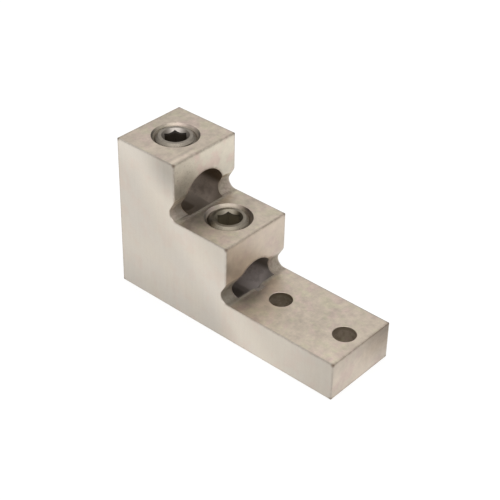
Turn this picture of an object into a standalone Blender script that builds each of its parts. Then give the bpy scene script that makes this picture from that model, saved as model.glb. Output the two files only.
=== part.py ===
"""Two-barrel mechanical lug for stranded wire.

A stepped block carries two wire bores, one above the other. A hex-socket set screw runs down
through the top of each step and clamps the wire in the bore below it. The block ends in a flat
tang with two bolt holes.

Metres, +Z up. +X runs from the wire-entry face to the end of the tang, and Y across the width.
The origin is the middle of the base.
"""

import math

import bmesh
import bpy

MM = 0.001

# Block, seen from the side
WIDTH = 38.1 * MM
UPPER_STEP_LENGTH = 33.8 * MM
LOWER_STEP_LENGTH = 29.9 * MM
TANG_LENGTH = 58.7 * MM
TANG_THICKNESS = 18.4 * MM
LOWER_STEP_RISE = 28.5 * MM
UPPER_STEP_RISE = 28.2 * MM
EDGE_BREAK = 0.3 * MM

# Wire bores and the metal above them
BORE_DIAMETER = 23.8 * MM
LOWER_THREAD_WALL = 15.1 * MM
UPPER_THREAD_WALL = 10.7 * MM
BORE_OVERRUN = 0.9 * MM
BORE_MOUTH_CHAMFER = 0.8 * MM
CENTRE_POINT_RADIUS = 2.8 * MM
CENTRE_POINT_LENGTH = 3.0 * MM

# Relief groove at the foot of each riser
RELIEF_RADIUS = 3.7 * MM
RELIEF_DEPTH = 3.1 * MM
RELIEF_SLOPE = math.radians(30)
SHOULDER_RADIUS = 4.0 * MM

# Set screws, both alike
SCREW_DIAMETER = 19.05 * MM
SCREW_LENGTH = 22.2 * MM
SCREW_FACE_DIAMETER = 15.2 * MM
SCREW_FACE_CHAMFER = 1.6 * MM
SCREW_POINT_DIAMETER = 13.6 * MM
SCREW_POINT_CHAMFER = 2.4 * MM
SCREW_CLEARANCE = 0.3 * MM
UPPER_SCREW_FROM_BACK = 16.4 * MM
LOWER_SCREW_FROM_RISER = 14.0 * MM
UPPER_SCREW_TURN = math.radians(-12)
LOWER_SCREW_TURN = math.radians(-15)

# Hex socket of the screws
SOCKET_ACROSS_FLATS = 9.525 * MM
SOCKET_DEPTH = 10.0 * MM
SOCKET_LEAD_IN = 0.7 * MM
DRILL_POINT_ANGLE = math.radians(118)

# Holes that cut the faces from outside
COUNTERSINK_RADIAL = 0.9 * MM
BOLT_HOLE_DIAMETER = 10.3 * MM
BOLT_SPACING = 34.7 * MM
BOLT_HOLE_FROM_END = 9.2 * MM
BOLT_HOLE_CHAMFER = 0.15 * MM

# How finely round forms are divided
TURNED_STEPS = 64
BOLT_HOLE_STEPS = 48
ARC_STEP = math.radians(7.5)
CUT_BEYOND = 2.0 * MM
WELD_DISTANCE = 0.00001
SMOOTH_ANGLE = math.radians(30)

# Places that follow from the sizes
TOTAL_LENGTH = UPPER_STEP_LENGTH + LOWER_STEP_LENGTH + TANG_LENGTH
BACK_X = -TOTAL_LENGTH / 2
UPPER_RISER_X = BACK_X + UPPER_STEP_LENGTH
LOWER_RISER_X = UPPER_RISER_X + LOWER_STEP_LENGTH
END_X = BACK_X + TOTAL_LENGTH
LOWER_STEP_Z = TANG_THICKNESS + LOWER_STEP_RISE
UPPER_STEP_Z = LOWER_STEP_Z + UPPER_STEP_RISE
BORE_RADIUS = BORE_DIAMETER / 2
LOWER_BORE_Z = LOWER_STEP_Z - LOWER_THREAD_WALL - BORE_RADIUS
UPPER_BORE_Z = UPPER_STEP_Z - UPPER_THREAD_WALL - BORE_RADIUS
UPPER_SCREW_X = BACK_X + UPPER_SCREW_FROM_BACK
LOWER_SCREW_X = UPPER_RISER_X + LOWER_SCREW_FROM_RISER
SOCKET_CORNER_RADIUS = SOCKET_ACROSS_FLATS / math.sqrt(3)


def clear_scene():
    for obj in list(bpy.data.objects):
        bpy.data.objects.remove(obj)


def new_collection(name):
    collection = bpy.data.collections.new(name)
    bpy.context.scene.collection.children.link(collection)
    return collection


def new_material(name, colour, metallic, roughness):
    material = bpy.data.materials.new(name)
    material.use_nodes = True
    shader = material.node_tree.nodes["Principled BSDF"]
    shader.inputs["Base Color"].default_value = (*colour, 1.0)
    shader.inputs["Metallic"].default_value = metallic
    shader.inputs["Roughness"].default_value = roughness
    return material


def as_cutter(obj):
    obj.hide_render = True
    obj.display_type = "WIRE"
    return obj


def cut(part, cutters):
    for cutter in cutters:
        difference = part.modifiers.new("cut " + cutter.name, "BOOLEAN")
        difference.operation = "DIFFERENCE"
        difference.solver = "EXACT"
        difference.object = cutter


def arc(centre_x, centre_z, radius, start, end):
    """Points along an arc from angle start to angle end, both ends included."""
    steps = max(2, math.ceil(abs(end - start) / ARC_STEP))
    angles = [start + (end - start) * i / steps for i in range(steps + 1)]
    return [(centre_x + radius * math.cos(a), centre_z + radius * math.sin(a)) for a in angles]


def relief_outline(riser_x, floor_z):
    """The foot of a riser, from its flat face down to the step or tang in front of it.

    A convex shoulder turns the riser inwards, a straight slope leads to the groove, and the
    groove's arc runs out level on the floor in front.
    """
    groove_x = riser_x + RELIEF_RADIUS - RELIEF_DEPTH
    groove_z = floor_z + RELIEF_RADIUS
    slope_foot_x = groove_x - RELIEF_RADIUS * math.cos(RELIEF_SLOPE)
    slope_foot_z = groove_z + RELIEF_RADIUS * math.sin(RELIEF_SLOPE)
    slope_top_z = slope_foot_z + (riser_x - slope_foot_x) / math.tan(RELIEF_SLOPE)
    shoulder_x = riser_x - SHOULDER_RADIUS
    shoulder_z = slope_top_z + SHOULDER_RADIUS * math.tan(RELIEF_SLOPE / 2)
    shoulder = arc(shoulder_x, shoulder_z, SHOULDER_RADIUS, 0.0, -RELIEF_SLOPE)
    groove = arc(groove_x, groove_z, RELIEF_RADIUS, math.pi - RELIEF_SLOPE, 1.5 * math.pi)
    return shoulder + groove


def side_outline():
    """The block's section, clockwise from the bottom of the wire-entry face."""
    return [
        (BACK_X, 0.0),
        (BACK_X, UPPER_STEP_Z),
        (UPPER_RISER_X, UPPER_STEP_Z),
        *relief_outline(UPPER_RISER_X, LOWER_STEP_Z),
        (LOWER_RISER_X, LOWER_STEP_Z),
        *relief_outline(LOWER_RISER_X, TANG_THICKNESS),
        (END_X, TANG_THICKNESS),
        (END_X, 0.0),
    ]


def extruded(name, outline, thickness, collection):
    """A flat outline in XZ drawn out to both sides of Y = 0, as a closed mesh."""
    curve = bpy.data.curves.new(name + " outline", "CURVE")
    curve.dimensions = "2D"
    curve.fill_mode = "BOTH"
    curve.extrude = thickness / 2
    spline = curve.splines.new("POLY")
    spline.points.add(len(outline) - 1)
    for point, (x, z) in zip(spline.points, outline):
        point.co = (x, z, 0.0, 1.0)
    spline.use_cyclic_u = True
    guide = bpy.data.objects.new(name + " outline", curve)
    guide.rotation_euler.x = math.pi / 2
    collection.objects.link(guide)

    bpy.context.view_layer.update()
    graph = bpy.context.evaluated_depsgraph_get()
    mesh = bpy.data.meshes.new_from_object(guide.evaluated_get(graph))
    mesh.name = name
    welded = bmesh.new()
    welded.from_mesh(mesh)
    bmesh.ops.remove_doubles(welded, verts=welded.verts, dist=WELD_DISTANCE)
    bmesh.ops.dissolve_limit(
        welded, angle_limit=math.radians(0.1), verts=welded.verts, edges=welded.edges
    )
    bmesh.ops.recalc_face_normals(welded, faces=welded.faces)
    welded.to_mesh(mesh)
    welded.free()

    solid = bpy.data.objects.new(name, mesh)
    solid.matrix_world = guide.matrix_world
    collection.objects.link(solid)
    bpy.data.objects.remove(guide)
    return solid


def turned(name, profile, collection, steps=TURNED_STEPS):
    """A solid of revolution about local Z. The profile holds (radius, height), top to bottom."""
    mesh = bpy.data.meshes.new(name)
    points = [(radius, 0.0, height) for radius, height in profile]
    mesh.from_pydata(points, [(i, i + 1) for i in range(len(points) - 1)], [])
    obj = bpy.data.objects.new(name, mesh)
    collection.objects.link(obj)
    spin = obj.modifiers.new("turn", "SCREW")
    spin.axis = "Z"
    spin.steps = steps
    spin.render_steps = steps
    spin.use_merge_vertices = True
    spin.merge_threshold = WELD_DISTANCE
    spin.use_smooth_shade = True
    return obj


def wire_bore(name, axis_z, riser_x, collection):
    """Flat-ended drilling from the wire-entry face to just past a riser, with a centre point."""
    mouth_z = -CUT_BEYOND
    flat_end_z = riser_x + BORE_OVERRUN - BACK_X
    mouth_radius = BORE_RADIUS + BORE_MOUTH_CHAMFER
    bore = turned(
        name,
        [
            (0.0, flat_end_z + CENTRE_POINT_LENGTH),
            (CENTRE_POINT_RADIUS, flat_end_z),
            (BORE_RADIUS, flat_end_z),
            (BORE_RADIUS, BORE_MOUTH_CHAMFER),
            (mouth_radius, 0.0),
            (mouth_radius, mouth_z),
            (0.0, mouth_z),
        ],
        collection,
    )
    bore.location = (BACK_X, 0.0, axis_z)
    bore.rotation_euler.y = math.pi / 2
    return as_cutter(bore)


def screw_hole(name, x, top_z, bore_z, collection):
    """The hole for a set screw, from the top of a step down to the axis of the bore under it."""
    radius = SCREW_DIAMETER / 2 + SCREW_CLEARANCE
    mouth_radius = radius + COUNTERSINK_RADIAL
    hole = turned(
        name,
        [
            (0.0, CUT_BEYOND),
            (mouth_radius, CUT_BEYOND),
            (mouth_radius, 0.0),
            (radius, -COUNTERSINK_RADIAL),
            (radius, bore_z - top_z),
            (0.0, bore_z - top_z),
        ],
        collection,
    )
    hole.location = (x, 0.0, top_z)
    return as_cutter(hole)


def bolt_hole(name, x, collection):
    radius = BOLT_HOLE_DIAMETER / 2
    mouth_radius = radius + BOLT_HOLE_CHAMFER
    hole = turned(
        name,
        [
            (0.0, TANG_THICKNESS + CUT_BEYOND),
            (mouth_radius, TANG_THICKNESS + CUT_BEYOND),
            (mouth_radius, TANG_THICKNESS),
            (radius, TANG_THICKNESS - BOLT_HOLE_CHAMFER),
            (radius, BOLT_HOLE_CHAMFER),
            (mouth_radius, 0.0),
            (mouth_radius, -CUT_BEYOND),
            (0.0, -CUT_BEYOND),
        ],
        collection,
        BOLT_HOLE_STEPS,
    )
    hole.location = (x, 0.0, 0.0)
    return as_cutter(hole)


def make_lug_body(parts, cutters, material):
    body = extruded("lug_body", side_outline(), WIDTH, parts)
    body.data.materials.append(material)
    edge_break = body.modifiers.new("broken edges", "BEVEL")
    edge_break.width = EDGE_BREAK
    edge_break.segments = 2
    edge_break.limit_method = "ANGLE"
    edge_break.angle_limit = SMOOTH_ANGLE
    edge_break.use_clamp_overlap = False
    outer_hole_x = END_X - BOLT_HOLE_FROM_END
    cut(
        body,
        [
            wire_bore("upper_wire_bore", UPPER_BORE_Z, UPPER_RISER_X, cutters),
            wire_bore("lower_wire_bore", LOWER_BORE_Z, LOWER_RISER_X, cutters),
            screw_hole("upper_screw_hole", UPPER_SCREW_X, UPPER_STEP_Z, UPPER_BORE_Z, cutters),
            screw_hole("lower_screw_hole", LOWER_SCREW_X, LOWER_STEP_Z, LOWER_BORE_Z, cutters),
            bolt_hole("outer_bolt_hole", outer_hole_x, cutters),
            bolt_hole("inner_bolt_hole", outer_hole_x - BOLT_SPACING, cutters),
        ],
    )
    return body


def hex_socket(name, collection):
    """The broached hexagon, open above the screw's face."""
    height = SOCKET_DEPTH + CUT_BEYOND
    mesh = bpy.data.meshes.new(name)
    prism = bmesh.new()
    bmesh.ops.create_cone(
        prism,
        cap_ends=True,
        segments=6,
        radius1=SOCKET_CORNER_RADIUS,
        radius2=SOCKET_CORNER_RADIUS,
        depth=height,
    )
    bmesh.ops.translate(prism, verts=prism.verts, vec=(0.0, 0.0, CUT_BEYOND - height / 2))
    prism.to_mesh(mesh)
    prism.free()
    socket = bpy.data.objects.new(name, mesh)
    collection.objects.link(socket)
    return as_cutter(socket)


def socket_drilling(name, collection):
    """The drilled hole that the hexagon was broached in, with its 45 degree lead-in."""
    drill_radius = SOCKET_ACROSS_FLATS / 2
    mouth_radius = SOCKET_CORNER_RADIUS + SOCKET_LEAD_IN
    drill_tip = drill_radius / math.tan(DRILL_POINT_ANGLE / 2)
    drilling = turned(
        name,
        [
            (0.0, CUT_BEYOND),
            (mouth_radius, CUT_BEYOND),
            (mouth_radius, 0.0),
            (drill_radius, drill_radius - mouth_radius),
            (drill_radius, -SOCKET_DEPTH),
            (0.0, -SOCKET_DEPTH - drill_tip),
        ],
        collection,
    )
    return as_cutter(drilling)


def make_set_screw(name, x, top_z, turn, parts, cutters, material):
    """A screw whose face is level with the top of its step. It moves along its own Z axis."""
    radius = SCREW_DIAMETER / 2
    screw = turned(
        name,
        [
            (0.0, 0.0),
            (SCREW_FACE_DIAMETER / 2, 0.0),
            (radius, -SCREW_FACE_CHAMFER),
            (radius, SCREW_POINT_CHAMFER - SCREW_LENGTH),
            (SCREW_POINT_DIAMETER / 2, -SCREW_LENGTH),
            (0.0, -SCREW_LENGTH),
        ],
        parts,
    )
    screw.location = (x, 0.0, top_z)
    screw.rotation_euler.z = turn
    screw.data.materials.append(material)
    tools = [
        hex_socket(name + "_hexagon", cutters),
        socket_drilling(name + "_drilling", cutters),
    ]
    for tool in tools:
        tool.parent = screw
    cut(screw, tools)
    return screw


def make_lug():
    clear_scene()
    parts = new_collection("mechanical_lug")
    cutters = new_collection("cutters")
    plated_block = new_material("tin-plated block", (0.60, 0.56, 0.49), 0.85, 0.42)
    plated_screw = new_material("tin-plated screw", (0.52, 0.49, 0.44), 0.9, 0.38)

    body = make_lug_body(parts, cutters, plated_block)
    places = {
        "upper_set_screw": (UPPER_SCREW_X, UPPER_STEP_Z, UPPER_SCREW_TURN),
        "lower_set_screw": (LOWER_SCREW_X, LOWER_STEP_Z, LOWER_SCREW_TURN),
    }
    screws = [
        make_set_screw(name, *place, parts, cutters, plated_screw) for name, place in places.items()
    ]
    base = bpy.data.objects.new("middle_of_base", None)
    parts.objects.link(base)
    for part in (body, *screws):
        part.data.shade_smooth()
        part.data.set_sharp_from_angle(angle=SMOOTH_ANGLE)
        part.parent = base


make_lug()
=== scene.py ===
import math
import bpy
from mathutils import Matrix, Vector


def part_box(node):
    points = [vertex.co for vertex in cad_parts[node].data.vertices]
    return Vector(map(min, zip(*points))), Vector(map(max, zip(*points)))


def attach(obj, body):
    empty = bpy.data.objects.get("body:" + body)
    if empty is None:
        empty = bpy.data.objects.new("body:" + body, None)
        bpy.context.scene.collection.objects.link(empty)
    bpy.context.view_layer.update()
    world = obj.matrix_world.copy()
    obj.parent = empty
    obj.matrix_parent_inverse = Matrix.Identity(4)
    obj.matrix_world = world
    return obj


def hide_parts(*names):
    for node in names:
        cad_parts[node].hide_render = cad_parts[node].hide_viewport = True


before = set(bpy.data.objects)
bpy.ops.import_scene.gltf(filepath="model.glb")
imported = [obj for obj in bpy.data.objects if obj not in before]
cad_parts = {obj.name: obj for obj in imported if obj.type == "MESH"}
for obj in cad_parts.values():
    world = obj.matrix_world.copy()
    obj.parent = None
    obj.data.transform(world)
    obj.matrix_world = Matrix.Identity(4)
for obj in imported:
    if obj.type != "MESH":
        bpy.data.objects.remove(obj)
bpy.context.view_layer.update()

# Looks of a two-barrel mechanical lug: a tin-plated aluminium block, cut from an extruded bar,
# with two hex-socket set screws in tapped holes. Metres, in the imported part's frame: X from the
# wire-entry face to the end of the tang, Y across the width, Z up.

from types import SimpleNamespace

import bmesh
import bpy
from mathutils import Matrix, Vector

MM = 0.001
INCH = 25.4 * MM

# The block and its screws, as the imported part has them
BLOCK_LOW, BLOCK_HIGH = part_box("lug_body")
UPPER_SCREW_LOW, UPPER_SCREW_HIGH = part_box("upper_set_screw")
LOWER_SCREW_LOW, LOWER_SCREW_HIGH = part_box("lower_set_screw")
BACK_X = BLOCK_LOW.x
END_X = BLOCK_HIGH.x
HALF_WIDTH = BLOCK_HIGH.y
UPPER_STEP_Z = BLOCK_HIGH.z
LOWER_STEP_Z = LOWER_SCREW_HIGH.z
UPPER_SCREW_X = (UPPER_SCREW_LOW.x + UPPER_SCREW_HIGH.x) / 2
LOWER_SCREW_X = (LOWER_SCREW_LOW.x + LOWER_SCREW_HIGH.x) / 2
UPPER_STEP_LENGTH = 33.8 * MM
LOWER_STEP_LENGTH = 29.9 * MM
UPPER_RISER_X = BACK_X + UPPER_STEP_LENGTH
LOWER_RISER_X = UPPER_RISER_X + LOWER_STEP_LENGTH
TANG_Z = 18.4 * MM
BORE_RADIUS = 11.9 * MM
UPPER_BORE_Z = 52.5 * MM
LOWER_BORE_Z = 19.9 * MM
BORE_OVERRUN = 0.9 * MM
CENTRE_POINT_LENGTH = 3.0 * MM
CENTRE_POINT_RADIUS = 2.8 * MM
RELIEF_RADIUS = 3.7 * MM
RELIEF_DEPTH = 3.1 * MM
BOLT_HOLE_RADIUS = 5.15 * MM
BOLT_HOLE_FROM_END = 9.2 * MM
BOLT_HOLE_SPACING = 34.7 * MM
OUTER_BOLT_HOLE_X = END_X - BOLT_HOLE_FROM_END
INNER_BOLT_HOLE_X = OUTER_BOLT_HOLE_X - BOLT_HOLE_SPACING

# The same places in pairs: each step ends at a riser or at the tang's end, each riser stands on
# a lower step, and each bore ends just past a riser
STEP_ENDS = ((UPPER_RISER_X, UPPER_STEP_Z), (LOWER_RISER_X, LOWER_STEP_Z), (END_X, TANG_Z))
RISER_FEET = ((UPPER_RISER_X, LOWER_STEP_Z), (LOWER_RISER_X, TANG_Z))
BORE_ENDS = ((UPPER_RISER_X, UPPER_BORE_Z), (LOWER_RISER_X, LOWER_BORE_Z))

# Each screw's hole: its axis, the step that it opens in, and the bore that it runs down to
SCREW_HOLES = (
    (UPPER_SCREW_X, UPPER_STEP_Z, UPPER_BORE_Z),
    (LOWER_SCREW_X, LOWER_STEP_Z, LOWER_BORE_Z),
)

# The 3/4-16 right-hand thread of screws and tapped holes
THREAD_PITCH = INCH / 16
SCREW_CREST = 9.46 * MM
SCREW_ROOT = 8.55 * MM
THREAD_PLAY = 0.12 * MM
CREST_FLAT = 1 / 8
ROOT_FLAT = 1 / 4
ROWS_A_PITCH = 16
THREAD_COLUMNS = 96
UNLIMITED_RADIUS = 1.0

# Screw ends and socket
SCREW_RADIUS = 9.525 * MM
SCREW_FACE_RADIUS = 7.6 * MM
SCREW_FACE_CHAMFER = 1.6 * MM
SCREW_FACE_SLOPE = (SCREW_RADIUS - SCREW_FACE_RADIUS) / SCREW_FACE_CHAMFER
SCREW_POINT_RADIUS = 6.8 * MM
SCREW_POINT_CHAMFER = 2.4 * MM
SCREW_POINT_SLOPE = (SCREW_RADIUS - SCREW_POINT_RADIUS) / SCREW_POINT_CHAMFER
SOCKET_ACROSS_FLATS = 3 / 8 * INCH
SOCKET_CORNER_RADIUS = SOCKET_ACROSS_FLATS / math.sqrt(3)
SOCKET_DEPTH = 10.0 * MM
SOCKET_MOUTH_RADIUS = SOCKET_CORNER_RADIUS + 0.7 * MM
DRILL_TIP_SLOPE = 0.6
UPPER_SCREW_TURN = math.radians(-12)
LOWER_SCREW_TURN = math.radians(-15)

# The countersunk mouth of each tapped hole, and the plug of metal that the thread is cut in
MOUTH_RADIUS = 10.76 * MM
PLUG_RADIUS = 10.3 * MM
PLUG_TOP_DEPTH = 0.6 * MM
PLUG_BORE_RADIUS = BORE_RADIUS + 0.02 * MM

# How far a cutter stands out of what it cuts, and how finely the meshes are cleaned
CUT_BEYOND = 1.0 * MM
WELD_DISTANCE = 0.000002
SLIVER = 0.000001
SKIN_WELD = 0.000005
POLE_WELD = 0.00001
FLAT_ANGLE = math.radians(0.1)
SMOOTH_ANGLE = math.radians(30)

# Zones of the block's finish, in millimetres: how far they reach past the real surfaces, and
# from what depth to what depth below a screw hole's mouth
HOLE_MARGIN = 0.1
BORE_END_MARGIN = 0.05
BOLT_HOLE_TOP = 0.2
RISER_MARGIN = 0.4
END_MARGIN = 0.25
ABOVE_GROOVE = 5
GROOVE_EDGE = (4.4, 3.6)
UNDERCUT_REACH = 9.0
COUNTERSINK_ZONE_RADIUS = 11.0
COUNTERSINK_ZONE_DEPTHS = (0.03, 1.5)
THREAD_ZONE_RADIUS = 10.0
THREAD_ZONE_DEPTHS = (0.8, 24.0)

# The turning marks of a screw's face, in radians of their wave for each millimetre outwards, and
# the middle of the painted highlight on its lead-in, in millimetres from its axis
TURNING_MARKS = 16.0
HIGHLIGHT_X, HIGHLIGHT_Y = -3.8, 4.4

# Colours, as (red, green, blue). Where there are two, the metal drifts from one to the other.
PLATING_IOR = 1.45
SIDE_COLOURS = (0.690, 0.634, 0.560), (0.700, 0.636, 0.548)
LEVEL_COLOURS = (0.690, 0.594, 0.488), (0.675, 0.606, 0.470)
END_COLOUR = (0.735, 0.638, 0.530)
# The brown of the painted shadow in the far upper corner of the tang's end
END_SHADOW_COLOUR = (0.715, 0.585, 0.460)
UPPER_RISER_COLOUR = (0.715, 0.650, 0.540)
LOWER_RISER_COLOUR = (0.725, 0.620, 0.510)
BLUSH_COLOUR = (0.70, 0.575, 0.495)
# Oxide with painted shade in the grooves and holes
GROOVE_OXIDE_AND_SHADE = (0.21, 0.19, 0.155)
TAPPED_HOLE_OXIDE_AND_SHADE = (0.21, 0.18, 0.14)
BOLT_HOLE_OXIDE_AND_SHADE = (0.165, 0.128, 0.082)
UPPER_BORE_OXIDES = (0.60, 0.50, 0.42), (0.54, 0.445, 0.32)
# Painted shade on the upper bore's far wall
UPPER_BORE_FAR_WALL_SHADE = (0.40, 0.32, 0.29)
UPPER_BORE_SHADE = (0.13, 0.088, 0.052)
LOWER_BORE_OXIDE = (0.86, 0.77, 0.74)
LOWER_BORE_SHADE = (0.26, 0.22, 0.185)
# Dirt, and painted shade along the edges and in the corners
DIRT_AND_SHADE_COLOUR = (0.24, 0.185, 0.14)
SCREW_COLOURS = (0.305, 0.268, 0.225), (0.365, 0.325, 0.27)
# The lead-in: painted shade at its sides, and its painted highlight
LEAD_IN_SHADE_AND_HIGHLIGHT = (0.20, 0.175, 0.15), (0.47, 0.43, 0.395)
LOWER_SOCKET_OXIDE = (0.235, 0.18, 0.11)
UPPER_SOCKET_OXIDE = (0.055, 0.040, 0.025)
# Oxide with painted shade on the screws' chamfers and threads
CHAMFER_OXIDE_AND_SHADE = (0.24, 0.21, 0.17)
SCREW_THREAD_OXIDE_AND_SHADE = (0.15, 0.125, 0.095)
LOWER_SCREW_OXIDE = (0.185, 0.158, 0.105)

# Paler and darker patches: the middle along the face's first and second direction and the
# radius, in millimetres, and how much paler (+) or darker (-) the middle is. On a side the
# directions are X and Z, on a riser and on the tang's end Y and Z, and on a level face X and Y.
# Besides stains, some patches are painted shade and painted light: on the level faces round the
# grooves and the lower screw, low on the lower riser's near side, and the painted shadow in the
# far upper corner of the tang's end.
SIDE_PATCHES = (
    (-31.0, 71.0, 17.0, -0.24),
    (-58.0, 72.0, 14.0, 0.06),
)
LEVEL_STAINS_AND_PAINTED_LIGHT = (
    (-60.0, 0.0, 14.0, -0.06),
    (-58.0, -17.0, 9.0, 0.05),
    (-25.0, -17.0, 7.0, 0.16),
    (12.0, -15.0, 9.0, 0.10),
    (-45.0, -16.0, 10.0, 0.03),
    (-31.0, 16.0, 9.0, 0.07),
    (-16.0, 17.0, 13.0, -0.18),
    (-14.0, -17.0, 10.0, 0.12),
    (38.0, 0.0, 20.0, -0.08),
    (54.0, -15.0, 13.0, 0.07),
)
UPPER_RISER_STAINS = (
    (17.0, 66.0, 9.0, 0.08),
    (-11.0, 65.0, 6.0, -0.12),
)
LOWER_RISER_STAINS_AND_SHADE = (
    (-16.0, 31.0, 12.0, -0.05),
    (-19.0, 36.0, 6.0, -0.16),
    (-6.0, 38.0, 9.0, -0.05),
    (17.0, 33.0, 10.0, -0.07),
)
END_STAINS_AND_SHADOW = (
    (19.0, 18.0, 27.0, -0.40),
    (-18.0, 1.0, 9.0, -0.07),
    (-5.0, 17.0, 9.0, -0.06),
    (7.0, 1.0, 9.0, 0.07),
)

# Painted shade in the two countersinks, at the sides of each and over the lower one, seen from
# above, where more is darker
COUNTERSINK_PAINTED_SHADE = (
    (-53.0, -7.0, 9.0, 0.45),
    (-36.6, 7.0, 9.0, 0.38),
    (-21.6, -7.0, 8.0, 0.25),
    (-13.4, 0.0, 16.0, 0.35),
)

# Camera of the photograph: where it stands, how it is turned, and its lens in millimetres
CAMERA_PLACE = Vector((0.28702, -0.33302, 0.34647))
CAMERA_AZIMUTH = math.radians(40.849)
CAMERA_ELEVATION = math.radians(35.228)
CAMERA_ROLL = math.radians(1.3385)
CAMERA_LENS = 90.26
CAMERA_SENSOR = 36.0

# The studio: a paper floor, a white tent round it all, and one softbox. The paper is palest by
# the block, and each of its two fades starts and ends so many millimetres from there.
FLOOR_REACH = 3.0
PAPER_FADE = (500.0, 1500.0)
HORIZON_FADE = (1200.0, 3000.0)
PAPER_GREYS = (0.29, 0.31)
PAPER_GREY_FAR_OFF = 0.22
PAPER_GREY_AT_HORIZON = 0.08
PAPER_ROUGHNESS = 0.9
PAPER_GLOW = 0.78
GLOW_FAR_OFF = 0.45
GLOW_AT_HORIZON = 0.18
TENT_STRENGTH_AT_HORIZON = 0.25
TENT_STRENGTH_OVERHEAD = 1.05
SOFTBOX_PLACE = Vector((0.35, -0.40, 0.95))
SOFTBOX_AIM = Vector((0.0, 0.0, 0.04))
SOFTBOX_WIDTH = 1.2
SOFTBOX_DEPTH = 0.42
SOFTBOX_RADIANCE = 1.1


class Term:
    """A node socket that can stand in a Python sum. Each operation adds its Math node."""

    def __init__(self, socket):
        self.socket = socket

    def math(self, operation, *others, order=None):
        node = self.socket.id_data.nodes.new("ShaderNodeMath")
        node.operation = operation
        terms = [self, *others]
        for place, term in zip(order or range(len(terms)), terms):
            fill(node.inputs[place], term)
        return Term(node.outputs[0])

    def __add__(self, other):
        return self.math("ADD", other)

    def __sub__(self, other):
        return self.math("SUBTRACT", other)

    def __mul__(self, other):
        return self.math("MULTIPLY", other)

    def __truediv__(self, other):
        return self.math("DIVIDE", other)

    def __rsub__(self, other):
        return self.math("SUBTRACT", other, order=(1, 0))

    def __lt__(self, other):
        return self.math("LESS_THAN", other)

    def __gt__(self, other):
        return self.math("GREATER_THAN", other)

    def __abs__(self):
        return self.math("ABSOLUTE")

    __radd__ = __add__
    __rmul__ = __mul__


def fill(socket, value):
    """Links a term to a socket, or sets the socket's own value."""
    if isinstance(value, Term):
        socket.id_data.links.new(value.socket, socket)
    else:
        socket.default_value = value


def least(first, *others):
    for other in others:
        first = first.math("MINIMUM", other)
    return first


def most(first, *others):
    for other in others:
        first = first.math("MAXIMUM", other)
    return first


def hypot(*sides):
    """Length of the diagonal over terms at right angles to each other."""
    total = sides[0] * sides[0]
    for side in sides[1:]:
        total = total + side * side
    return total.math("SQRT")


def within(value, low, high):
    return (value > low) * (value < high)


class Recipe:
    """A node tree that is written down step by step."""

    def __init__(self, tree):
        self.tree = tree

    def node(self, kind, settings=None, inputs=None, output=0):
        """A node of any kind: its settings come first, then its sockets, by name or by place."""
        node = self.tree.nodes.new(kind)
        for name, value in (settings or {}).items():
            setattr(node, name, value)
        for key, value in (inputs or {}).items():
            fill(node.inputs[key], value)
        return Term(node.outputs[output])

    def ramp(self, value, start, end, low=0.0, high=1.0, soft=True):
        """Low at start and before it, high at end and after it, and a change between them."""
        return self.node(
            "ShaderNodeMapRange",
            {"interpolation_type": "SMOOTHSTEP" if soft else "LINEAR"},
            {0: value, 1: start, 2: end, 3: low, 4: high},
        )

    def split(self, vector):
        xyz = self.tree.nodes.new("ShaderNodeSeparateXYZ")
        fill(xyz.inputs[0], vector)
        return [Term(socket) for socket in xyz.outputs]

    def joined(self, x, y, z):
        return self.node("ShaderNodeCombineXYZ", inputs={0: x, 1: y, 2: z})

    def stretched(self, vector, factors):
        return self.node("ShaderNodeVectorMath", {"operation": "MULTIPLY"}, {0: vector, 1: factors})

    def noise(self, vector, scale, detail, roughness=0.5):
        return self.node(
            "ShaderNodeTexNoise",
            inputs={"Vector": vector, "Scale": scale, "Detail": detail, "Roughness": roughness},
        )

    def mix(self, factor, first, second, blend="MIX"):
        """Two colours mixed. Plain ones are (red, green, blue)."""
        colours = [(*c, 1.0) if isinstance(c, tuple) else c for c in (first, second)]
        return self.node(
            "ShaderNodeMix",
            {"data_type": "RGBA", "blend_type": blend, "clamp_factor": True},
            {0: factor, 6: colours[0], 7: colours[1]},
            output=2,
        )

    def bump(self, height, distance, strength):
        return self.node(
            "ShaderNodeBump",
            inputs={"Strength": strength, "Distance": distance, "Height": height},
        )


def new_finish(name, constants):
    """A material with its shader's constant values set, and the recipe to write the rest in."""
    material = bpy.data.materials.new(name)
    material.use_nodes = True
    shader = material.node_tree.nodes["Principled BSDF"]
    for socket, value in constants.items():
        shader.inputs[socket].default_value = value
    return material, Recipe(material.node_tree), shader


def place_in_mm(recipe):
    """The point of the surface, in the piece's own coordinates."""
    place = recipe.node("ShaderNodeTexCoord", output=3)
    return recipe.stretched(place, (1 / MM, 1 / MM, 1 / MM))


def in_mm(length):
    return length / MM


def from_axes(x, y, axes_x):
    """How far a point lies from the nearest of the upright axes at these places along X."""
    return least(*[hypot(x - in_mm(axis_x), y) for axis_x in axes_x])


def edge_distances(x, y, z):
    """How far a point of the surface lies from the block's sides, from the nearest edge, from
    the nearest edge across the width, and from the nearest corner."""
    from_side = in_mm(HALF_WIDTH) - abs(y)
    boxes = [
        least(x - in_mm(BACK_X), in_mm(end_x) - x, z, in_mm(top_z) - z)
        for end_x, top_z in STEP_ENDS
    ]
    cross_edges = ((BACK_X, 0.0), (BACK_X, UPPER_STEP_Z), *STEP_ENDS, (END_X, 0.0))
    from_cross_edge = least(
        *[hypot(x - in_mm(edge_x), z - in_mm(edge_z)) for edge_x, edge_z in cross_edges]
    )
    from_edge = least(most(from_side, *boxes), from_cross_edge)
    return from_side, from_edge, from_cross_edge, hypot(from_side, from_cross_edge)


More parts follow.
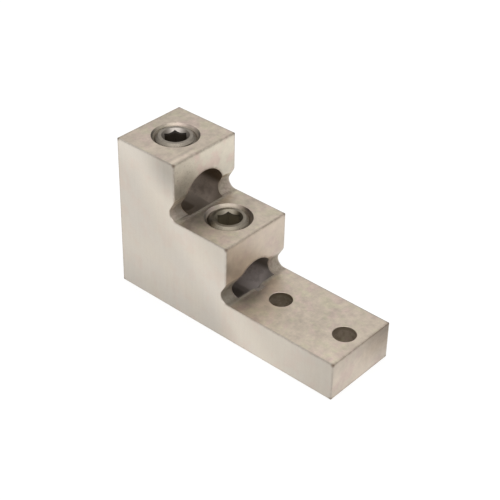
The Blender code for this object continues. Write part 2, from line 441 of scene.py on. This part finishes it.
def hole_zones(x, y, z):
    """1 in the upper and in the lower wire bore with their centre points, in the bolt holes, in
    the tapped holes and on their countersinks."""
    bores = []
    for riser_x, bore_z in BORE_ENDS:
        from_axis = hypot(y, z - in_mm(bore_z))
        beyond = x - in_mm(riser_x + BORE_OVERRUN)
        barrel = (from_axis < in_mm(BORE_RADIUS) + HOLE_MARGIN) * (beyond < BORE_END_MARGIN)
        near_axis = from_axis < in_mm(CENTRE_POINT_RADIUS) + HOLE_MARGIN
        point = near_axis * (beyond < in_mm(CENTRE_POINT_LENGTH))
        bores.append(most(barrel, point))
    from_bolt = from_axes(x, y, (INNER_BOLT_HOLE_X, OUTER_BOLT_HOLE_X))
    below_top = z < in_mm(TANG_Z) - BOLT_HOLE_TOP
    in_bolt_hole = (from_bolt < in_mm(BOLT_HOLE_RADIUS) + HOLE_MARGIN) * below_top
    tapped = []
    countersunk = []
    for screw_x, step_z, _ in SCREW_HOLES:
        from_axis = hypot(x - in_mm(screw_x), y)
        depth = in_mm(step_z) - z
        tapped.append((from_axis < THREAD_ZONE_RADIUS) * within(depth, *THREAD_ZONE_DEPTHS))
        near_mouth = within(depth, *COUNTERSINK_ZONE_DEPTHS)
        countersunk.append((from_axis < COUNTERSINK_ZONE_RADIUS) * near_mouth)
    in_threads = most(*tapped) * (1 - most(*bores))
    in_countersink = most(*countersunk) * (1 - in_threads)
    return *bores, in_bolt_hole, in_threads, in_countersink


def groove_zone(recipe, x, z):
    """1 in the grooves at the feet of the risers, and less on the slopes that undercut them."""
    grooves = []
    for riser_x, floor_z in RISER_FEET:
        middle_x = riser_x + RELIEF_RADIUS - RELIEF_DEPTH
        middle_z = floor_z + RELIEF_RADIUS
        from_middle = hypot(x - in_mm(middle_x), z - in_mm(middle_z))
        behind = recipe.ramp(in_mm(riser_x) - x, 0.1, 2.0) * (from_middle < UNDERCUT_REACH)
        grooves.append(most(recipe.ramp(from_middle, *GROOVE_EDGE), behind * 0.75))
    return most(*grooves)


def block_zones(recipe, place):
    """Where a point of the block lies, and masks of its kinds of surface: sawn sides, the two
    risers and the tang's end, which stand upright, level faces, grooves and holes."""
    x, y, z = recipe.split(place)
    from_side, from_edge, from_cross_edge, from_corner = edge_distances(x, y, z)
    upper_bore, lower_bore, bolt_hole, threads, countersink = hole_zones(x, y, z)
    bore = most(upper_bore, lower_bore)
    side = recipe.ramp(from_side, 0.7, 0.4)
    off_side = 1 - side
    upper_riser, lower_riser = [
        (abs(x - in_mm(riser_x)) < RISER_MARGIN) * (z > in_mm(foot_z) + ABOVE_GROOVE) * off_side
        for riser_x, foot_z in RISER_FEET
    ]
    end = (x > in_mm(END_X) - END_MARGIN) * off_side
    upright = most(upper_riser, lower_riser, end)
    return SimpleNamespace(
        x=x,
        y=y,
        z=z,
        from_edge=from_edge,
        from_cross_edge=from_cross_edge,
        from_corner=from_corner,
        side=side,
        off_side=off_side,
        upper_riser=upper_riser,
        lower_riser=lower_riser,
        end=end,
        upright=upright,
        level=off_side * (1 - upright),
        groove=groove_zone(recipe, x, z) * off_side * (1 - bore),
        upper_bore=upper_bore,
        lower_bore=lower_bore,
        bore=bore,
        bolt_hole=bolt_hole,
        threads=threads,
        countersink=countersink,
    )


def plating_noises(recipe, place):
    """Uneven plating: wide clouds of warm and cool tone, mottling, fine grain and tool marks."""
    upright_streaks = recipe.stretched(place, (1.0, 0.2, 0.05))
    cross_streaks = recipe.stretched(place, (1.0, 0.03, 1.0))
    wide_patches = recipe.stretched(place, (1.0, 1.3, 0.8))
    narrow_patches = recipe.stretched(place, (1.2, 1.0, 1.0))
    return SimpleNamespace(
        clouds=recipe.noise(place, scale=0.05, detail=2.0),
        tints=recipe.noise(wide_patches, scale=0.16, detail=3.0),
        blushes=recipe.noise(narrow_patches, scale=0.13, detail=3.0, roughness=0.55),
        mottle=recipe.noise(place, scale=0.30, detail=5.0, roughness=0.65),
        grain=recipe.noise(place, scale=2.6, detail=3.0, roughness=0.65),
        saw_streaks=recipe.noise(upright_streaks, scale=0.8, detail=4.0, roughness=0.6),
        die_lines=recipe.noise(cross_streaks, scale=1.6, detail=4.0, roughness=0.6),
    )


def plating_colour(recipe, zone, noise):
    """The colour of each kind of face, apart from how pale or dark it is."""
    side = recipe.mix(recipe.ramp(noise.clouds, 0.35, 0.65), *SIDE_COLOURS)
    level = recipe.mix(recipe.ramp(noise.tints, 0.45, 0.65), *LEVEL_COLOURS)
    upright = recipe.mix(zone.upper_riser, END_COLOUR, UPPER_RISER_COLOUR)
    upright = recipe.mix(zone.lower_riser, upright, LOWER_RISER_COLOUR)
    # Painted shadow: the tang's end browner in its far upper corner, where it mirrors the shaded
    # floor
    end_shadow = zone.end * recipe.ramp(zone.y, -6.0, 12.0) * recipe.ramp(zone.z, 2.0, 12.0)
    upright = recipe.mix(end_shadow, upright, END_SHADOW_COLOUR)
    metal = recipe.mix(zone.side, recipe.mix(zone.upright, level, upright), side)
    blush = recipe.ramp(noise.blushes, 0.48, 0.66) * (0.35 + zone.off_side * 0.65)
    return recipe.mix(blush, metal, BLUSH_COLOUR)


def stains_and_shade(recipe, across, along, patches):
    """The sum of soft round patches, each given by its middle, its radius and its strength."""
    total = 0.0
    for middle_across, middle_along, radius, strength in patches:
        distance = hypot(across - middle_across, along - middle_along)
        total = total + recipe.ramp(distance, radius, 0.0, 0.0, strength)
    return total


def plating_tone(recipe, zone, noise):
    """How pale each place of the block is: random tone and marks, stains, painted shade and painted
    reflections.
    """
    x, y, z = zone.x, zone.y, zone.z

    # Painted reflection: a pale diagonal band across the sides. Painted shade: the sides darker at
    # the foot, most towards the wire-entry face.
    painted_reflection_band = recipe.ramp(abs(x + z - 21.0), 21.0, 0.0)
    painted_shade_at_foot = recipe.ramp(z, 24.0, 0.0) * recipe.ramp(x, 14.0, -6.0)
    dim_tang = recipe.ramp(x, 32.0, 58.0)
    near_side = (y < 0) * zone.side
    side_tone = (
        0.87
        + painted_reflection_band * 0.10
        - painted_shade_at_foot * 0.13
        - dim_tang * 0.13
        + near_side * stains_and_shade(recipe, x, z, SIDE_PATCHES)
        + (noise.saw_streaks - 0.5) * 0.08
    )

    # Two marks run along the near half of the upper step's edge: one rubbed pale, one scored
    from_step_edge = x - in_mm(UPPER_RISER_X)
    near_half = recipe.ramp(y, 1.0, -6.0)
    rubbed_strip = recipe.ramp(abs(from_step_edge + 2.4), 1.3, 0.3) * near_half
    scored_line = recipe.ramp(abs(from_step_edge + 4.3), 0.9, 0.2) * near_half
    level_tone = (
        1
        + stains_and_shade(recipe, x, y, LEVEL_STAINS_AND_PAINTED_LIGHT)
        + (noise.mottle - 0.5) * 0.75
        + (noise.die_lines - 0.5) * 0.10
        + (rubbed_strip * 0.14 - scored_line * 0.12) * (z > in_mm(LOWER_STEP_Z) + 1)
    )

    # Painted shade: the upper riser darker towards its foot and its near side
    upper_riser_tone = (
        0.97
        - recipe.ramp(z, 74.0, 60.0) * 0.16
        - recipe.ramp(y, 6.0, -16.0) * 0.09
        + stains_and_shade(recipe, y, z, UPPER_RISER_STAINS)
    )
    lower_riser_tone = 0.83 + stains_and_shade(recipe, y, z, LOWER_RISER_STAINS_AND_SHADE)
    # Painted shadow: the tang's end darker towards its top and most in its far upper corner
    end_tone = 0.82 - recipe.ramp(z, 8.0, 17.0) * 0.10 + stains_and_shade(recipe, y, z, END_STAINS_AND_SHADOW)
    upright_tone = (
        zone.upper_riser * upper_riser_tone
        + zone.lower_riser * lower_riser_tone
        + zone.end * end_tone
        + (noise.mottle - 0.5) * 0.35
    )

    tone = zone.side * side_tone + zone.upright * upright_tone + zone.level * level_tone
    tone = tone * (1 + (noise.grain - 0.5) * 0.14)
    # Painted shade: the countersinks darker all round, and most at their sides
    countersink_shade = 0.34 + stains_and_shade(recipe, x, y, COUNTERSINK_PAINTED_SHADE)
    return tone * (1 - zone.countersink * countersink_shade)


def with_hole_oxides_and_shade(recipe, metal, zone, noise):
    """The metal with dark oxide and painted shade in the grooves, in the tapped holes and in the
    bolt holes.
    """
    # Painted shade: the grooves darker towards the near side, most at the near end of the upper one
    by_upper_riser = zone.x < in_mm(UPPER_RISER_X) + 9.0
    shaded_groove_end = recipe.ramp(zone.y, -13.0, -18.0) * by_upper_riser
    groove_shade = recipe.ramp(zone.y, 14.0, -18.0, 0.50, 0.84) - shaded_groove_end * 0.32
    metal = recipe.mix(zone.groove * groove_shade, metal, GROOVE_OXIDE_AND_SHADE)
    # Oxide with painted shade in the tapped holes and in the bolt holes, lighter in the outer bolt
    # hole
    metal = recipe.mix(zone.threads * 0.62, metal, TAPPED_HOLE_OXIDE_AND_SHADE)
    hole_rim = recipe.ramp(zone.z, in_mm(TANG_Z) - 4.0, in_mm(TANG_Z) - 1.2)
    hole_shade = most(recipe.ramp(noise.mottle, 0.38, 0.62, 0.55, 0.85), hole_rim * 0.92)
    by_outer_hole = zone.x > in_mm(INNER_BOLT_HOLE_X) + 15.0
    hole_shade = hole_shade - by_outer_hole * 0.15
    return recipe.mix(zone.bolt_hole * hole_shade, metal, BOLT_HOLE_OXIDE_AND_SHADE)


def with_bore_oxides_and_shade(recipe, metal, zone, noise):
    """The metal with oxide in the wire bores, and painted shade over it: darkest under the roof,
    on the upper bore's far wall and at the deep end of the floor, darker at the mouth in the riser
    and on the centre point, with a paler floor. Also a mask of the riser's rims round those mouths."""
    near_wall = recipe.ramp(zone.y, 1.0, -9.0)
    # Painted shade: the upper bore's far wall darker
    shaded_far_wall = recipe.ramp(zone.y, 6.5, 11.0) * 0.3
    upper_oxide = recipe.mix(near_wall, *UPPER_BORE_OXIDES)
    upper_oxide = recipe.mix(shaded_far_wall, upper_oxide, UPPER_BORE_FAR_WALL_SHADE)
    bores = (
        (zone.upper_bore, upper_oxide, UPPER_BORE_SHADE),
        (zone.lower_bore, LOWER_BORE_OXIDE, LOWER_BORE_SHADE),
    )
    rims = []
    for (in_bore, oxide, shade_colour), (riser_x, bore_z) in zip(bores, BORE_ENDS):
        up = zone.z - in_mm(bore_z)
        inward = in_mm(riser_x) - zone.x
        # Painted shade in the bores: under the roof, low on the floor and at its deep end, on the
        # centre point, and darker near the mouth
        shade = most(
            recipe.ramp(up, -3.6, 1.5),
            recipe.ramp(up, -8.0, -11.8) * 0.62,
            recipe.ramp(inward, 6.5, 1.0) * 0.65,
            recipe.ramp(up, -10.8, -11.8) * recipe.ramp(inward, 7.0, 9.5) * 0.95,
            (inward < -1.0) * 0.9,
            recipe.ramp(noise.mottle, 0.42, 0.62) * 0.3,
        )
        metal = recipe.mix(in_bore, metal, recipe.mix(shade, oxide, shade_colour))
        outside = hypot(zone.y, up) - in_mm(BORE_RADIUS)
        rim = recipe.ramp(outside, 1.3, 0.2) * (outside > 0.0)
        rims.append(rim * within(inward, -0.8, 6.0))
    return metal, most(*rims)


def edge_dirt_and_shade(recipe, place, zone, bore_rim):
    """How much brown dirt and painted shade lies in each place. Dirt gathers in the grooves and
    round the bores; along the edges, and thickest in the corners, it is dirt with painted shade,
    where the rounded edges mirror the dark."""
    dirt_noise = recipe.noise(place, scale=0.55, detail=3.0, roughness=0.6)
    speck_noise = recipe.noise(place, scale=1.1, detail=2.0, roughness=0.7)
    grime_noise = recipe.noise(place, scale=0.7, detail=3.0, roughness=0.7)
    uneven = recipe.ramp(dirt_noise, 0.38, 0.62, 0.45, 1.0)
    # Dirt with painted shade along the edges and in the corners
    edge = recipe.ramp(zone.from_edge, 1.1, 0.25) * uneven
    cross_edge = recipe.ramp(zone.from_cross_edge, 1.5, 0.2) * uneven
    corner = recipe.ramp(zone.from_corner, 2.1, 0.2)
    near_top = recipe.ramp(zone.y, -3.0, -11.0) * recipe.ramp(zone.z, 75.0, 70.0)
    specks = recipe.ramp(speck_noise, 0.56, 0.66) * zone.upper_riser * near_top
    groove_grime = zone.groove * recipe.ramp(grime_noise, 0.45, 0.62)
    dirt_and_shade = most(
        edge * 0.26,
        cross_edge * 0.45,
        corner * 0.95,
        specks * 0.35,
        bore_rim * uneven * 0.5,
        groove_grime * 0.35,
    )
    return dirt_and_shade * (1 - zone.bore)


def plated_block_finish():
    """Dull tin plating over sawn sides and die-drawn tops and risers, with painted shade and
    painted reflections over the faces. Bores, holes and grooves are dark with oxide and painted
    shade, and brown dirt with painted shade lies along the edges and in the corners."""
    material, recipe, shader = new_finish("tin-plated block", {"IOR": PLATING_IOR})
    place = place_in_mm(recipe)
    zone = block_zones(recipe, place)
    noise = plating_noises(recipe, place)

    tone = plating_tone(recipe, zone, noise)
    metal = plating_colour(recipe, zone, noise)
    metal = recipe.mix(1.0, metal, recipe.joined(tone, tone, tone), "MULTIPLY")
    metal = with_hole_oxides_and_shade(recipe, metal, zone, noise)
    metal, bore_rim = with_bore_oxides_and_shade(recipe, metal, zone, noise)
    dirt_and_shade = edge_dirt_and_shade(recipe, place, zone, bore_rim)
    fill(shader.inputs["Base Color"], recipe.mix(dirt_and_shade, metal, DIRT_AND_SHADE_COLOUR))

    metallic = 0.92 - zone.bore * 0.6 - zone.groove * 0.4 - zone.bolt_hole * 0.5
    fill(shader.inputs["Metallic"], metallic)
    roughness = (
        0.40
        + (noise.mottle - 0.5) * 0.16
        + zone.bore * 0.1
        + zone.groove * 0.2
        + dirt_and_shade * 0.2
        - zone.countersink * 0.1
    )
    fill(shader.inputs["Roughness"], roughness)

    sawn = zone.side * noise.saw_streaks * 0.5
    drawn = zone.off_side * (noise.die_lines * 0.4 + noise.mottle * 0.5)
    height = sawn + drawn + noise.grain * 0.35
    fill(shader.inputs["Normal"], recipe.bump(height, distance=0.06 * MM, strength=0.6))
    return material


def plated_screw_finish():
    """Tin plating over turned metal: fine turning marks on the face, a painted highlight on the
    lead-in's far side with painted shade beside it, dark oxide in the socket, and oxide with
    painted shade on the chamfer and the thread. The lower screw is darker, most on its lead-in,
    where painted shade dims its highlight."""
    material, recipe, shader = new_finish("tin-plated screw", {"IOR": PLATING_IOR})
    place = place_in_mm(recipe)
    x, y, z = recipe.split(place)
    screws_x = (UPPER_SCREW_X, LOWER_SCREW_X)
    from_axis = from_axes(x, y, screws_x)
    on_upper = x < in_mm(UPPER_RISER_X)
    upper_depth, lower_depth = in_mm(UPPER_STEP_Z) - z, in_mm(LOWER_STEP_Z) - z
    depth = on_upper * upper_depth + (1 - on_upper) * lower_depth

    mottle = recipe.noise(place, scale=0.7, detail=3.0, roughness=0.6)
    grain = recipe.noise(place, scale=3.2, detail=3.0, roughness=0.6)
    rings = (from_axis * TURNING_MARKS + mottle * 3.0).math("SINE")
    metal = recipe.mix(recipe.ramp(mottle, 0.35, 0.65), *SCREW_COLOURS)

    on_lead_in = (from_axis < in_mm(SOCKET_MOUTH_RADIUS) + 0.05) * (depth > 0.03)
    # Painted highlight: the lead-in pale round a spot on its far side, with painted shade on either
    # side of it
    from_painted_highlight = least(
        *[hypot(x - in_mm(screw_x) - HIGHLIGHT_X, y - HIGHLIGHT_Y) for screw_x in screws_x]
    )
    lead_in = recipe.mix(recipe.ramp(from_painted_highlight, 5.5, 1.5), *LEAD_IN_SHADE_AND_HIGHLIGHT)
    metal = recipe.mix(on_lead_in * 0.85, metal, lead_in)

    near_axis = from_axis < in_mm(SOCKET_CORNER_RADIUS) + HOLE_MARGIN
    in_socket = near_axis * recipe.ramp(depth, 1.1, 2.6)
    socket_oxide = recipe.mix(on_upper, LOWER_SOCKET_OXIDE, UPPER_SOCKET_OXIDE)
    metal = recipe.mix(in_socket * 0.92, metal, socket_oxide)

    # Oxide with painted shade on the chamfer and on the thread
    on_chamfer = recipe.ramp(from_axis, 7.6, 7.9)
    on_thread = recipe.ramp(from_axis, 8.3, 9.0)
    metal = recipe.mix(on_chamfer * 0.45, metal, CHAMFER_OXIDE_AND_SHADE)
    metal = recipe.mix(on_thread * 0.6, metal, SCREW_THREAD_OXIDE_AND_SHADE)
    # The lower screw darker all over, and more on its lead-in, where it is painted shade that dims
    # the highlight
    lower_oxide_and_shade = (1 - on_upper) * (0.34 + on_lead_in * 0.36)
    metal = recipe.mix(lower_oxide_and_shade, metal, LOWER_SCREW_OXIDE)
    fill(shader.inputs["Base Color"], metal)
    fill(shader.inputs["Metallic"], 0.95 - in_socket * 0.6)
    fill(shader.inputs["Roughness"], 0.36 + (mottle - 0.5) * 0.2 - on_chamfer * 0.06)
    height = rings * 0.25 + grain * 0.6
    fill(shader.inputs["Normal"], recipe.bump(height, distance=0.03 * MM, strength=0.5))
    return material


def thread_tree():
    """Geometry nodes for a turned piece with a right-hand thread about an upright axis.

    The rows of a grid follow the helix, so each row keeps its place on the thread's profile, and
    the last column meets the first one, one pitch higher. The profile is held below the face
    chamfer and the point chamfer, and above the countersink. The end rows close on the axis."""
    tree = bpy.data.node_groups.new("threaded piece", "GeometryNodeTree")
    names = (
        "Axis X",
        "Top",
        "Bottom",
        "Crest Radius",
        "Root Radius",
        "Face Radius",
        "Face Slope",
        "Point Radius",
        "Point Slope",
        "Mouth Radius",
        "Mouth Height",
    )
    for name in names:
        tree.interface.new_socket(name, in_out="INPUT", socket_type="NodeSocketFloat")
    tree.interface.new_socket("Rows", in_out="INPUT", socket_type="NodeSocketInt")
    tree.interface.new_socket("Material", in_out="INPUT", socket_type="NodeSocketMaterial")
    tree.interface.new_socket("Piece", in_out="OUTPUT", socket_type="NodeSocketGeometry")
    recipe = Recipe(tree)
    group_in = tree.nodes.new("NodeGroupInput")
    size = {socket.name: Term(socket) for socket in group_in.outputs if socket.name}

    columns = THREAD_COLUMNS + 1
    grid = recipe.node(
        "GeometryNodeMeshGrid",
        inputs={"Size X": 1.0, "Size Y": 1.0, "Vertices X": columns, "Vertices Y": size["Rows"]},
    )
    across, along, _ = recipe.split(recipe.node("GeometryNodeInputPosition"))
    turn = across + 0.5
    last_row = size["Rows"] - 1
    row = ((along + 0.5) * last_row).math("ROUND")

    start = (size["Bottom"] / THREAD_PITCH).math("FLOOR") - 1
    pitches = start + (row - 1) / ROWS_A_PITCH
    raw_height = (pitches + turn) * THREAD_PITCH
    height = least(most(raw_height, size["Bottom"]), size["Top"])

    from_root = abs(pitches.math("FRACT") * 2 - 1)
    flank = recipe.ramp(from_root, ROOT_FLAT, 1 - CREST_FLAT, soft=False)
    thread = size["Root Radius"] + flank * (size["Crest Radius"] - size["Root Radius"])
    face_limit = size["Face Radius"] + (size["Top"] - height) * size["Face Slope"]
    point_limit = size["Point Radius"] + (height - size["Bottom"]) * size["Point Slope"]
    mouth_limit = size["Mouth Radius"] + height - size["Mouth Height"]
    radius = most(least(thread, face_limit, point_limit), mouth_limit)
    inner_row = within(row, 0.5, last_row - 0.5)
    radius = radius * inner_row

    angle = turn * (2 * math.pi)
    place = recipe.joined(
        radius * angle.math("COSINE") + size["Axis X"],
        radius * angle.math("SINE"),
        height,
    )
    shaped = recipe.node("GeometryNodeSetPosition", inputs={"Geometry": grid, "Position": place})
    welded = recipe.node(
        "GeometryNodeMergeByDistance", inputs={"Geometry": shaped, "Distance": WELD_DISTANCE}
    )
    realized = recipe.node("GeometryNodeRealizeInstances", inputs={"Geometry": welded})
    finished = recipe.node(
        "GeometryNodeSetMaterial", inputs={"Geometry": realized, "Material": size["Material"]}
    )
    group_out = tree.nodes.new("NodeGroupOutput")
    fill(group_out.inputs["Piece"], finished)
    return tree


def link(obj):
    """Puts an object in the scene and hands it back."""
    bpy.context.scene.collection.objects.link(obj)
    return obj


def as_plain_mesh(obj, name):
    """The evaluated object's mesh in a new object, in place of the old one."""
    bpy.context.view_layer.update()
    graph = bpy.context.evaluated_depsgraph_get()
    mesh = bpy.data.meshes.new_from_object(obj.evaluated_get(graph))
    mesh.name = name
    bpy.data.objects.remove(obj)
    plain = bpy.data.objects.new(name, mesh)
    return link(plain)


def from_bmesh(name, shape):
    """A new object with the shape as its mesh. The shape is used up."""
    mesh = bpy.data.meshes.new(name)
    shape.to_mesh(mesh)
    shape.free()
    return link(bpy.data.objects.new(name, mesh))


def prism(name, segments, radius, depth, place):
    """A straight prism or cylinder round the place's Z, half of it above and half below."""
    shape = bmesh.new()
    bmesh.ops.create_cone(
        shape,
        cap_ends=True,
        segments=segments,
        radius1=radius,
        radius2=radius,
        depth=depth,
        matrix=place,
    )
    return from_bmesh(name, shape)


def threaded(name, tree, sizes, material):
    """A threaded piece from the tree, as a plain mesh."""
    carrier = link(bpy.data.objects.new(name, bpy.data.meshes.new(name)))
    modifier = carrier.modifiers.new("thread", "NODES")
    modifier.node_group = tree
    pitches = (sizes["Top"] - sizes["Bottom"]) / THREAD_PITCH
    rows = (math.ceil(pitches) + 2) * ROWS_A_PITCH + 2
    values = {"Rows": rows, "Material": material, **sizes}
    for item in tree.interface.items_tree:
        if item.in_out == "INPUT" and item.name in values:
            modifier[item.identifier] = values[item.name]
    return as_plain_mesh(carrier, name)


def boolean(piece, operation, tools):
    """The piece with tools cut away or joined on. The tools are used up."""
    name = piece.name
    for tool in tools:
        step = piece.modifiers.new(tool.name, "BOOLEAN")
        step.operation = operation
        step.solver = "EXACT"
        step.object = tool
    result = as_plain_mesh(piece, name)
    for tool in tools:
        bpy.data.objects.remove(tool)
    return result


def turned(name, profile, place):
    """A solid turned about an upright axis, from (radius, height) points, top to bottom."""
    mesh = bpy.data.meshes.new(name)
    points = [(radius, 0.0, height) for radius, height in profile]
    mesh.from_pydata(points, [(i, i + 1) for i in range(len(points) - 1)], [])
    obj = link(bpy.data.objects.new(name, mesh))
    spin = obj.modifiers.new("turn", "SCREW")
    spin.axis = "Z"
    spin.steps = THREAD_COLUMNS
    spin.render_steps = THREAD_COLUMNS
    spin.use_merge_vertices = True
    spin.merge_threshold = POLE_WELD
    solid = as_plain_mesh(obj, name)
    solid.data.transform(place)
    return solid


def weld_slivers(piece):
    """Welds away the thin slivers that booleans leave where the thread's rows meet a socket."""
    skin = bmesh.new()
    skin.from_mesh(piece.data)
    bmesh.ops.triangulate(skin, faces=skin.faces)
    bmesh.ops.remove_doubles(skin, verts=skin.verts, dist=SLIVER)
    bmesh.ops.dissolve_degenerate(skin, edges=skin.edges, dist=SLIVER)
    skin.to_mesh(piece.data)
    skin.free()


def smooth(piece, material):
    """Gives a piece its one material, and smooth shading up to its sharp edges."""
    piece.data.materials.clear()
    piece.data.materials.append(material)
    piece.data.shade_smooth()
    piece.data.set_sharp_from_angle(angle=SMOOTH_ANGLE)


def make_screw(name, node, body, tree, material, x, top_z, bottom_z, turn):
    """A set screw with its thread, and its socket broached in a drilled hole."""
    sizes = {
        "Axis X": x,
        "Top": top_z,
        "Bottom": bottom_z,
        "Crest Radius": SCREW_CREST,
        "Root Radius": SCREW_ROOT,
        "Face Radius": SCREW_FACE_RADIUS,
        "Face Slope": SCREW_FACE_SLOPE,
        "Point Radius": SCREW_POINT_RADIUS,
        "Point Slope": SCREW_POINT_SLOPE,
        "Mouth Radius": 0.0,
        "Mouth Height": top_z,
    }
    screw = threaded(name, tree, sizes, material)
    place = Matrix.Translation((x, 0.0, top_z)) @ Matrix.Rotation(turn, 4, "Z")
    hexagon_depth = SOCKET_DEPTH + CUT_BEYOND
    hexagon_middle = Matrix.Translation((0.0, 0.0, CUT_BEYOND - hexagon_depth / 2))
    hexagon = prism(
        "socket_hexagon", 6, SOCKET_CORNER_RADIUS, hexagon_depth, place @ hexagon_middle
    )
    drill_radius = SOCKET_ACROSS_FLATS / 2
    drilling = turned(
        "socket_drilling",
        [
            (0.0, CUT_BEYOND),
            (SOCKET_MOUTH_RADIUS, CUT_BEYOND),
            (SOCKET_MOUTH_RADIUS, 0.0),
            (drill_radius, drill_radius - SOCKET_MOUTH_RADIUS),
            (drill_radius, -SOCKET_DEPTH),
            (0.0, -SOCKET_DEPTH - drill_radius * DRILL_TIP_SLOPE),
        ],
        place,
    )
    screw = boolean(screw, "DIFFERENCE", [hexagon, drilling])
    weld_slivers(screw)
    smooth(screw, material)
    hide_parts(node)
    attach(screw, body)


def block_copy(name):
    """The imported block's mesh, merged into one closed skin with flat faces in one piece."""
    skin = bmesh.new()
    skin.from_mesh(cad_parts["lug_body"].data)
    bmesh.ops.remove_doubles(skin, verts=skin.verts, dist=SKIN_WELD)
    bmesh.ops.dissolve_limit(skin, angle_limit=FLAT_ANGLE, verts=skin.verts, edges=skin.edges)
    return from_bmesh(name, skin)


def make_block(tree, material):
    """The block with its two holes filled, tapped and countersunk."""
    block = block_copy("lug_block")
    along_x = Matrix.Rotation(math.pi / 2, 4, "Y")
    for x, top_z, bore_z in SCREW_HOLES:
        plug = turned(
            "thread_metal",
            [
                (0.0, -PLUG_TOP_DEPTH),
                (PLUG_RADIUS, -PLUG_TOP_DEPTH),
                (PLUG_RADIUS, bore_z - top_z),
                (0.0, bore_z - top_z),
            ],
            Matrix.Translation((x, 0.0, top_z)),
        )
        bore_axis = Matrix.Translation((0.0, 0.0, bore_z)) @ along_x
        bore = prism("bore", THREAD_COLUMNS, PLUG_BORE_RADIUS, END_X - BACK_X, bore_axis)
        plug = boolean(plug, "DIFFERENCE", [bore])
        block = boolean(block, "UNION", [plug])
    for x, top_z, bore_z in SCREW_HOLES:
        sizes = {
            "Axis X": x,
            "Top": top_z + CUT_BEYOND,
            "Bottom": bore_z,
            "Crest Radius": SCREW_CREST + THREAD_PLAY,
            "Root Radius": SCREW_ROOT + THREAD_PLAY,
            "Face Radius": UNLIMITED_RADIUS,
            "Face Slope": 0.0,
            "Point Radius": UNLIMITED_RADIUS,
            "Point Slope": 0.0,
            "Mouth Radius": MOUTH_RADIUS,
            "Mouth Height": top_z,
        }
        tap = threaded("tap", tree, sizes, material)
        block = boolean(block, "DIFFERENCE", [tap])
    smooth(block, material)
    flat_first = block.modifiers.new("flat faces stay flat", "WEIGHTED_NORMAL")
    flat_first.mode = "FACE_AREA"
    flat_first.keep_sharp = True
    block = as_plain_mesh(block, "lug_block")
    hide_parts("lug_body")
    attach(block, "block")


def make_camera():
    """The camera of the photograph. Its azimuth is how far it is turned from looking along +Y."""
    lens = bpy.data.cameras.new("photo_camera")
    lens.lens = CAMERA_LENS
    lens.sensor_width = CAMERA_SENSOR
    camera = link(bpy.data.objects.new("photo_camera", lens))
    turn = (
        Matrix.Rotation(CAMERA_AZIMUTH, 4, "Z")
        @ Matrix.Rotation(math.pi / 2 - CAMERA_ELEVATION, 4, "X")
        @ Matrix.Rotation(CAMERA_ROLL, 4, "Z")
    )
    camera.matrix_world = Matrix.Translation(CAMERA_PLACE) @ turn
    bpy.context.scene.camera = camera


def grey(level):
    return (level, level, level)


def make_floor():
    """White paper, which glows so that it stays white up to the block's foot. It dims far from
    the block, and fades into the tent at the horizon without a line."""
    material, recipe, shader = new_finish(
        "white paper", {"Roughness": PAPER_ROUGHNESS, "Emission Strength": PAPER_GLOW}
    )
    place = place_in_mm(recipe)
    x, y, _ = recipe.split(place)
    distance = hypot(x, y)
    far_off = recipe.ramp(distance, *PAPER_FADE)
    at_horizon = recipe.ramp(distance, *HORIZON_FADE)
    fibres = recipe.noise(place, scale=0.8, detail=4.0)
    paper = recipe.mix(fibres, *[grey(level) for level in PAPER_GREYS])
    paper = recipe.mix(far_off, paper, grey(PAPER_GREY_FAR_OFF))
    paper = recipe.mix(at_horizon, paper, grey(PAPER_GREY_AT_HORIZON))
    glow = recipe.mix(far_off, grey(1.0), grey(GLOW_FAR_OFF))
    glow = recipe.mix(at_horizon, glow, grey(GLOW_AT_HORIZON))
    fill(shader.inputs["Base Color"], paper)
    fill(shader.inputs["Emission Color"], glow)
    sheet = bmesh.new()
    bmesh.ops.create_grid(sheet, x_segments=1, y_segments=1, size=FLOOR_REACH)
    floor = from_bmesh("studio_floor", sheet)
    floor.data.materials.append(material)


def make_softbox():
    """An oblong light of one brightness all over, turned to the block. It is the key light."""
    light = bpy.data.lights.new("key_softbox", "AREA")
    light.shape = "RECTANGLE"
    light.size = SOFTBOX_WIDTH
    light.size_y = SOFTBOX_DEPTH
    light.energy = SOFTBOX_RADIANCE * math.pi * SOFTBOX_WIDTH * SOFTBOX_DEPTH
    softbox = link(bpy.data.objects.new("key_softbox", light))
    towards_block = (SOFTBOX_AIM - SOFTBOX_PLACE).to_track_quat("-Z", "Y")
    softbox.matrix_world = Matrix.Translation(SOFTBOX_PLACE) @ towards_block.to_matrix().to_4x4()


def make_tent():
    """A white tent all round, bright overhead and dim towards the horizon."""
    world = bpy.data.worlds.new("white tent")
    world.use_nodes = True
    recipe = Recipe(world.node_tree)
    _, _, upward = recipe.split(recipe.node("ShaderNodeTexCoord"))
    strength = recipe.ramp(upward, 0.0, 1.0, TENT_STRENGTH_AT_HORIZON, TENT_STRENGTH_OVERHEAD)
    background = world.node_tree.nodes["Background"]
    background.inputs["Color"].default_value = (1.0, 1.0, 1.0, 1.0)
    fill(background.inputs["Strength"], strength)
    bpy.context.scene.world = world
    bpy.context.scene.view_settings.view_transform = "Standard"


make_camera()
make_floor()
make_tent()
make_softbox()
block_finish = plated_block_finish()
screw_finish = plated_screw_finish()
threads = thread_tree()
make_block(threads, block_finish)
make_screw(
    "upper_screw_threaded",
    "upper_set_screw",
    "upper_screw",
    threads,
    screw_finish,
    UPPER_SCREW_X,
    UPPER_STEP_Z,
    UPPER_SCREW_LOW.z,
    UPPER_SCREW_TURN,
)
make_screw(
    "lower_screw_threaded",
    "lower_set_screw",
    "lower_screw",
    threads,
    screw_finish,
    LOWER_SCREW_X,
    LOWER_STEP_Z,
    LOWER_SCREW_LOW.z,
    LOWER_SCREW_TURN,
)
